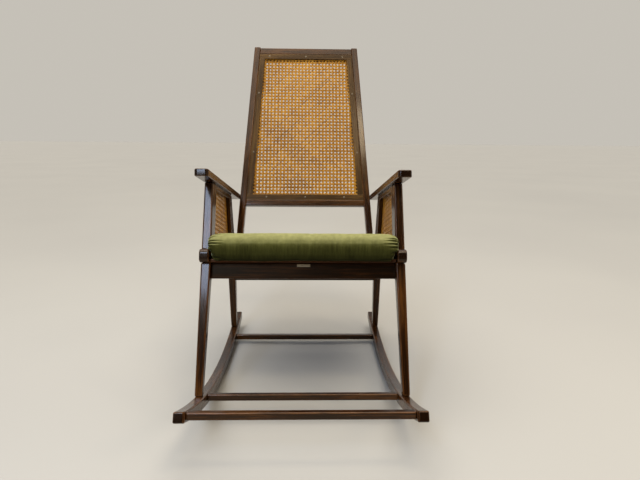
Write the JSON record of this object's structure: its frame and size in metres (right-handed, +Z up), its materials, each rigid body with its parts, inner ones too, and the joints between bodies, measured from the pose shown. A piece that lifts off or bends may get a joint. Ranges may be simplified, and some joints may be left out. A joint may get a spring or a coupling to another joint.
{
  "type": "rocking chair",
  "caption": "High-backed rocking chair: dark A-frame sides on curved rockers, reclined cane back, cane side panels, flat arms and a loose velvet bolster cushion.",
  "frame": {"origin": "centre of the bounding box at floor level; the rockers touch the floor a little behind it", "axes": "+Z up, the chair faces -Y with its back towards +Y, +X to the viewer's right when looking at its front"},
  "size_m": [0.523, 1.0666, 1.0256],
  "materials": {
    "frame_wood": "gloss",
    "panel_wood": "gloss",
    "strip_wood": "satin",
    "board_wood": "satin",
    "dowel_wood": "satin",
    "cane": "satin",
    "velvet": "matte",
    "screw_metal": "satin",
    "label": "matte"
  },
  "bodies": {
    "frame": {"rocker_left": "frame_wood", "rocker_right": "frame_wood", "front_stretcher": "frame_wood", "middle_stretcher": "frame_wood", "rear_stretcher": "frame_wood", "front_leg_left": "frame_wood", "front_leg_right": "frame_wood", "rear_leg_left": "frame_wood", "rear_leg_right": "frame_wood", "seat_rail_left": "frame_wood", "seat_rail_right": "frame_wood", "front_apron": "frame_wood", "rear_apron": "frame_wood", "armrest_left": "frame_wood", "armrest_right": "frame_wood", "back_post_left": "frame_wood", "back_post_right": "frame_wood", "back_top_rail": "frame_wood", "back_lower_rail": "frame_wood", "panel_front_stile_left": "panel_wood", "panel_front_stile_right": "panel_wood", "panel_rear_stile_left": "panel_wood", "panel_rear_stile_right": "panel_wood", "panel_top_rail_left": "panel_wood", "panel_top_rail_right": "panel_wood", "panel_bottom_rail_left": "panel_wood", "panel_bottom_rail_right": "panel_wood", "cane_strip_top": "strip_wood", "cane_strip_bottom": "strip_wood", "cane_strip_left": "strip_wood", "cane_strip_right": "strip_wood", "cane_ledge_top": "strip_wood", "cane_ledge_bottom": "strip_wood", "cane_ledge_left": "strip_wood", "cane_ledge_right": "strip_wood", "side_cane_left": "cane", "side_cane_right": "cane", "back_cane": "cane", "lap_dowels": "dowel_wood", "blank_label": "label", "seat_board": "board_wood", "strip_screws": "screw_metal"},
    "cushion": {"seat_cushion": "velvet"}
  },
  "joints": [
    {"name": "cushion_lift", "type": "slide", "parent": "frame", "child": "cushion", "axis": [0, 0.299, 0.9542], "range_m": [0, 0.12]}
  ]
}
